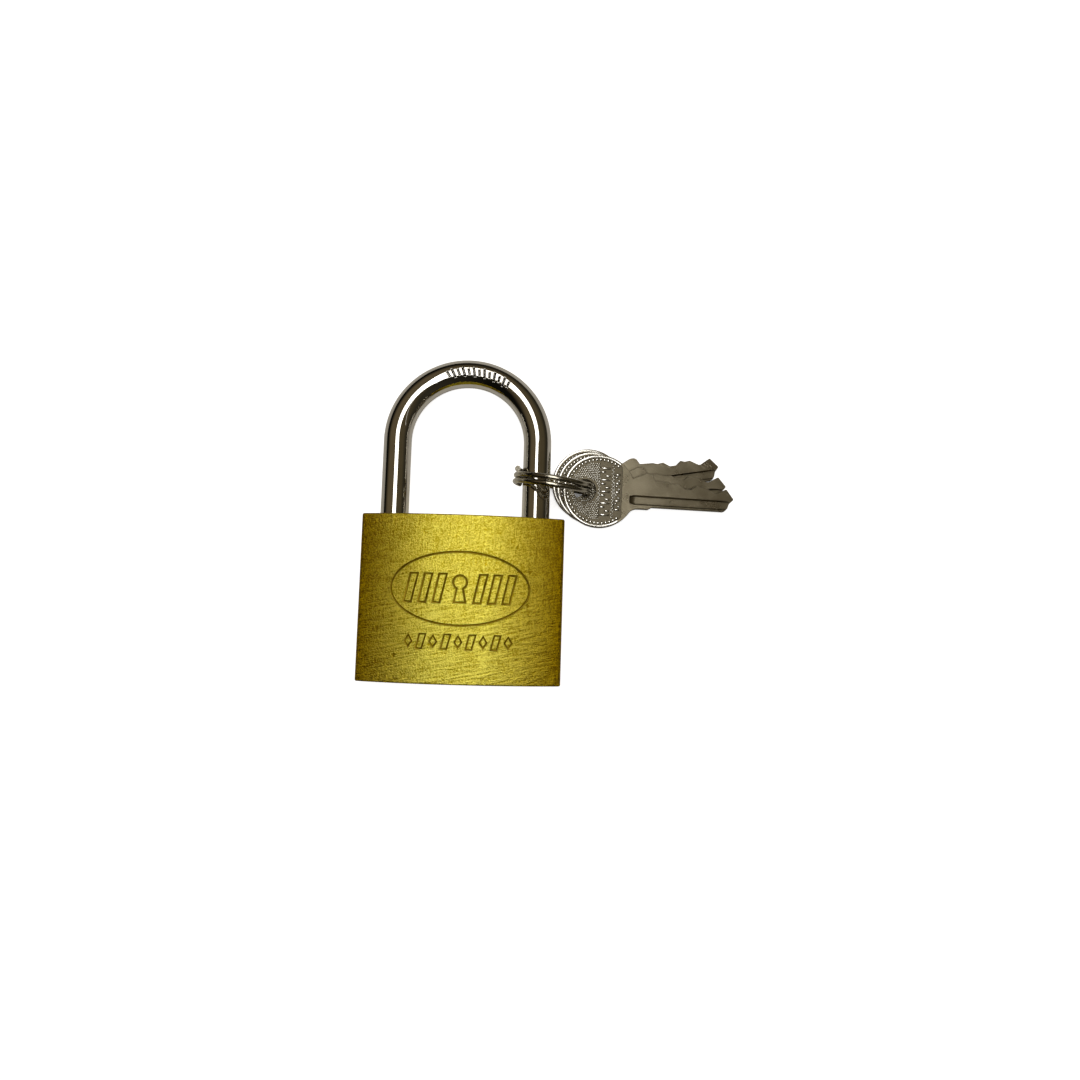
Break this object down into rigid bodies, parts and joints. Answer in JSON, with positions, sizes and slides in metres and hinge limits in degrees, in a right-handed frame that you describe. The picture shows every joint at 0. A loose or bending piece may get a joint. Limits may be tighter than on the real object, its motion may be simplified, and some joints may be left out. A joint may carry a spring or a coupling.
{
  "type": "padlock",
  "caption": "Pin-tumbler padlock: convex brass case, lifting U shackle, turning plug with latch and pins, and a split ring with keys.",
  "frame": {"origin": "middle of the keyway mouth, in the plane of the case's bottom face", "axes": "padlock lies on its back: +X across the width towards the toe leg and keys, +Y along the shackle legs away from the case, +Z out of the engraved front face"},
  "size_m": [0.0938, 0.0815, 0.0205],
  "materials": {
    "case_brass": "satin, fine vertical brushing with slanted scratches",
    "chrome_bar": "polished hard chrome",
    "plug_brass": "turned, machined",
    "pin_brass": "turned",
    "latch_steel": "ground",
    "spring_steel": "drawn wire",
    "ring_steel": "nickel-plated drawn wire",
    "key_nickel": "nickel-plated, stamped and milled"
  },
  "bodies": {
    "housing": {"body": "case_brass", "shackle_stop_pin": "case_brass", "plug_retaining_pin": "case_brass", "latch_bore_plug": "case_brass", "chamber_plugs": "case_brass", "shackle_spring": "spring_steel", "latch_spring": "spring_steel", "pin_spring_1": "spring_steel", "pin_spring_2": "spring_steel", "pin_spring_3": "spring_steel", "pin_spring_4": "spring_steel"},
    "shackle": {"shackle": "chrome_bar"},
    "plug": {"plug": "plug_brass", "plug_cam": "latch_steel"},
    "latch": {"latch_bolt": "latch_steel"},
    "key_ring": {"key_ring": "ring_steel"},
    "key_pin_1": {"key_pin_1": "pin_brass"},
    "driver_pin_1": {"driver_pin_1": "pin_brass"},
    "key_pin_2": {"key_pin_2": "pin_brass"},
    "driver_pin_2": {"driver_pin_2": "pin_brass"},
    "key_pin_3": {"key_pin_3": "pin_brass"},
    "driver_pin_3": {"driver_pin_3": "pin_brass"},
    "key_pin_4": {"key_pin_4": "pin_brass"},
    "driver_pin_4": {"driver_pin_4": "pin_brass"},
    "key_1": {"key_1": "key_nickel"},
    "key_2": {"key_2": "key_nickel"},
    "key_3": {"key_3": "key_nickel"}
  },
  "joints": [
    {"name": "shackle_lift", "type": "slide", "parent": "housing", "child": "shackle", "axis": [0, 1, 0], "range_m": [0, 0.0105], "deforming": ["shackle_spring"]},
    {"name": "plug_turn", "type": "hinge", "parent": "housing", "child": "plug", "pos_m": [0, 0, 0], "axis": [0, -1, 0], "range_deg": [0, 90]},
    {"name": "latch_slide", "type": "slide", "parent": "housing", "child": "latch", "axis": [1, 0, 0], "range_m": [0, 0.00198], "deforming": ["latch_spring"]},
    {"name": "key_pin_1_slide", "type": "slide", "parent": "plug", "child": "key_pin_1", "axis": [0, 0, 1], "range_m": [0, 0.001]},
    {"name": "key_pin_2_slide", "type": "slide", "parent": "plug", "child": "key_pin_2", "axis": [0, 0, 1], "range_m": [0, 0.001]},
    {"name": "key_pin_3_slide", "type": "slide", "parent": "plug", "child": "key_pin_3", "axis": [0, 0, 1], "range_m": [0, 0.001]},
    {"name": "key_pin_4_slide", "type": "slide", "parent": "plug", "child": "key_pin_4", "axis": [0, 0, 1], "range_m": [0, 0.001]},
    {"name": "driver_pin_1_slide", "type": "slide", "parent": "housing", "child": "driver_pin_1", "axis": [1, 0, 0], "range_m": [0, 0.0015], "stiffness_N_per_m": 120, "springref_m": -0.003, "deforming": ["pin_spring_1"]},
    {"name": "driver_pin_2_slide", "type": "slide", "parent": "housing", "child": "driver_pin_2", "axis": [1, 0, 0], "range_m": [0, 0.0015], "stiffness_N_per_m": 120, "springref_m": -0.003, "deforming": ["pin_spring_2"]},
    {"name": "driver_pin_3_slide", "type": "slide", "parent": "housing", "child": "driver_pin_3", "axis": [1, 0, 0], "range_m": [0, 0.0015], "stiffness_N_per_m": 120, "springref_m": -0.003, "deforming": ["pin_spring_3"]},
    {"name": "driver_pin_4_slide", "type": "slide", "parent": "housing", "child": "driver_pin_4", "axis": [1, 0, 0], "range_m": [0, 0.0015], "stiffness_N_per_m": 120, "springref_m": -0.003, "deforming": ["pin_spring_4"]},
    {"name": "ring_swing", "type": "hinge", "parent": "shackle", "child": "key_ring", "pos_m": [0.01775, 0.0506, 0], "axis": [0, -1, 0], "range_deg": [-60, 90]},
    {"name": "key_1_swing", "type": "hinge", "parent": "key_ring", "child": "key_1", "pos_m": [0.0302, 0.0492, -0.0015], "axis": [0.0523, 0, 0.9986], "range_deg": [-30, 45]},
    {"name": "key_2_swing", "type": "hinge", "parent": "key_ring", "child": "key_2", "pos_m": [0.0287, 0.05, -0.00338], "axis": [0.0523, 0, 0.9986], "range_deg": [-30, 45]},
    {"name": "key_3_swing", "type": "hinge", "parent": "key_ring", "child": "key_3", "pos_m": [0.0277, 0.0506, -0.00529], "axis": [0.0523, 0, 0.9986], "range_deg": [-30, 45]}
  ],
  "couplings": [
    {"joint": "latch_slide", "follows": "plug_turn", "m_per_rad": 0.0012604}
  ]
}
